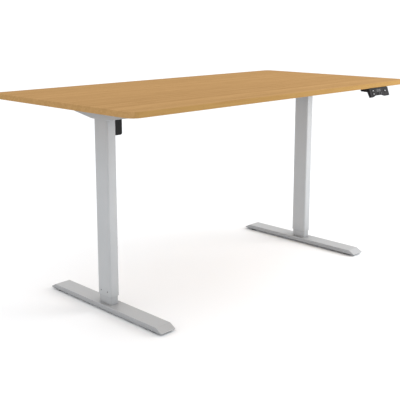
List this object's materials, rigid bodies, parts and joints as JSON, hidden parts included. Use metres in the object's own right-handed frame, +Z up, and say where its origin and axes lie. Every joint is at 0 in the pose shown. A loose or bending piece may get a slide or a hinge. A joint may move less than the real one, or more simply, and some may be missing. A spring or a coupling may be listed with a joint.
{
  "type": "height adjustable standing desk",
  "caption": "Electric sit-stand desk: rounded rectangular bamboo worktop on a T-leg frame of telescopic rectangular columns, bevelled flat feet and an under-edge control handset.",
  "frame": {"origin": "on the floor under the centre of the worktop", "axes": "+X along the worktop towards the end with the handset, +Y away from the person seated, +Z up"},
  "size_m": [1.4, 0.7125, 0.692],
  "materials": {
    "bamboo": "satin lacquered bamboo, fine strips along the length",
    "frame_paint": "light silver-grey fine-texture powder coat",
    "black_plastic": "fine-grained black moulding",
    "charcoal_plastic": "satin charcoal moulding",
    "keycap": "matt key caps with pale legends",
    "display_window": "smoked gloss window",
    "rubber": "matt black glide pad",
    "cable_jacket": "matt black cable jacket",
    "steel": "turned and ground steel",
    "cast_alloy": "as cast",
    "acetal": "natural white bearing plastic",
    "circuit_board": "solder mask"
  },
  "bodies": {
    "left_lower_leg": {"left_foot": "frame_paint", "left_inner_tube": "frame_paint", "left_slide_cap": "acetal", "left_lift_nut": "acetal"},
    "upper_frame": {"tabletop": "bamboo", "left_outer_tube": "frame_paint", "left_guide_collar": "acetal", "left_bracket": "frame_paint", "left_gearbox": "cast_alloy", "left_screw_bearing": "steel", "right_outer_tube": "frame_paint", "right_guide_collar": "acetal", "right_bracket": "frame_paint", "right_gearbox": "cast_alloy", "right_screw_bearing": "steel", "left_front_rail": "frame_paint", "left_rear_rail": "frame_paint", "right_front_rail": "frame_paint", "right_rear_rail": "frame_paint", "front_sleeve_rail": "frame_paint", "rear_sleeve_rail": "frame_paint", "drive_housing": "black_plastic", "motor_cover": "black_plastic", "gearmotor": "steel", "control_box_case": "black_plastic", "control_box_lid": "black_plastic", "circuit_board": "circuit_board", "mains_inlet": "black_plastic", "motor_connector": "charcoal_plastic", "handset_connector": "charcoal_plastic", "handset_case": "charcoal_plastic", "handset_display": "display_window", "motor_lead": "cable_jacket", "handset_lead": "cable_jacket", "motor_lead_clip": "black_plastic", "handset_lead_clip_1": "black_plastic", "handset_lead_clip_2": "black_plastic"},
    "right_lower_leg": {"right_foot": "frame_paint", "right_inner_tube": "frame_paint", "right_slide_cap": "acetal", "right_lift_nut": "acetal"},
    "left_screw": {"left_lead_screw": "steel", "left_screw_gear": "steel"},
    "right_screw": {"right_lead_screw": "steel", "right_screw_gear": "steel"},
    "cross_shaft": {"cross_shaft": "steel", "left_shaft_gear": "steel", "right_shaft_gear": "steel", "drive_crown_gear": "steel"},
    "motor_pinion": {"motor_pinion": "steel"},
    "left_front_glide": {"left_front_glide": "rubber"},
    "left_rear_glide": {"left_rear_glide": "rubber"},
    "right_front_glide": {"right_front_glide": "rubber"},
    "right_rear_glide": {"right_rear_glide": "rubber"},
    "up_button": {"up_button": "keycap"},
    "down_button": {"down_button": "keycap"},
    "memory_1_button": {"memory_1_button": "keycap"},
    "memory_2_button": {"memory_2_button": "keycap"},
    "memory_3_button": {"memory_3_button": "keycap"},
    "set_button": {"set_button": "keycap"}
  },
  "joints": [
    {"name": "lift", "type": "slide", "parent": "left_lower_leg", "child": "upper_frame", "axis": [0, 0, 1], "range_m": [0, 0.45]},
    {"name": "right_leg_slide", "type": "slide", "parent": "upper_frame", "child": "right_lower_leg", "axis": [0, 0, -1], "range_m": [0, 0.45]},
    {"name": "left_screw_spin", "type": "hinge", "parent": "upper_frame", "child": "left_screw", "pos_m": [-0.514, 0.003, 0.65], "axis": [0, 0, 1], "range_deg": [-1, 16201]},
    {"name": "right_screw_spin", "type": "hinge", "parent": "upper_frame", "child": "right_screw", "pos_m": [0.514, 0.003, 0.65], "axis": [0, 0, 1], "range_deg": [-1, 16201]},
    {"name": "cross_shaft_spin", "type": "hinge", "parent": "upper_frame", "child": "cross_shaft", "pos_m": [0, 0.003, 0.65], "axis": [1, 0, 0], "range_deg": [-1, 16201]},
    {"name": "motor_pinion_spin", "type": "hinge", "parent": "upper_frame", "child": "motor_pinion", "pos_m": [-0.47515, 0.003, 0.65], "axis": [0, 0, 1], "range_deg": [-1, 32401]},
    {"name": "left_front_glide_height", "type": "slide", "parent": "left_lower_leg", "child": "left_front_glide", "axis": [0, 0, -1], "range_m": [0, 0.006]},
    {"name": "left_rear_glide_height", "type": "slide", "parent": "left_lower_leg", "child": "left_rear_glide", "axis": [0, 0, -1], "range_m": [0, 0.006]},
    {"name": "right_front_glide_height", "type": "slide", "parent": "right_lower_leg", "child": "right_front_glide", "axis": [0, 0, -1], "range_m": [0, 0.006]},
    {"name": "right_rear_glide_height", "type": "slide", "parent": "right_lower_leg", "child": "right_rear_glide", "axis": [0, 0, -1], "range_m": [0, 0.006]},
    {"name": "up_button_press", "type": "slide", "parent": "upper_frame", "child": "up_button", "axis": [0, 0.9483, -0.3173], "range_m": [0, 0.001], "stiffness_N_per_m": 300, "springref_m": -0.001},
    {"name": "down_button_press", "type": "slide", "parent": "upper_frame", "child": "down_button", "axis": [0, 0.9483, -0.3173], "range_m": [0, 0.001], "stiffness_N_per_m": 300, "springref_m": -0.001},
    {"name": "memory_1_button_press", "type": "slide", "parent": "upper_frame", "child": "memory_1_button", "axis": [0, 0.9483, -0.3173], "range_m": [0, 0.001], "stiffness_N_per_m": 300, "springref_m": -0.001},
    {"name": "memory_2_button_press", "type": "slide", "parent": "upper_frame", "child": "memory_2_button", "axis": [0, 0.9483, -0.3173], "range_m": [0, 0.001], "stiffness_N_per_m": 300, "springref_m": -0.001},
    {"name": "memory_3_button_press", "type": "slide", "parent": "upper_frame", "child": "memory_3_button", "axis": [0, 0.9483, -0.3173], "range_m": [0, 0.001], "stiffness_N_per_m": 300, "springref_m": -0.001},
    {"name": "set_button_press", "type": "slide", "parent": "upper_frame", "child": "set_button", "axis": [0, 0.9483, -0.3173], "range_m": [0, 0.001], "stiffness_N_per_m": 300, "springref_m": -0.001}
  ],
  "couplings": [
    {"joint": "right_leg_slide", "follows": "lift", "ratio": 1},
    {"joint": "left_screw_spin", "follows": "lift", "rad_per_m": 628.32},
    {"joint": "right_screw_spin", "follows": "lift", "rad_per_m": 628.32},
    {"joint": "cross_shaft_spin", "follows": "lift", "rad_per_m": 628.32},
    {"joint": "motor_pinion_spin", "follows": "lift", "rad_per_m": 1256.6}
  ]
}
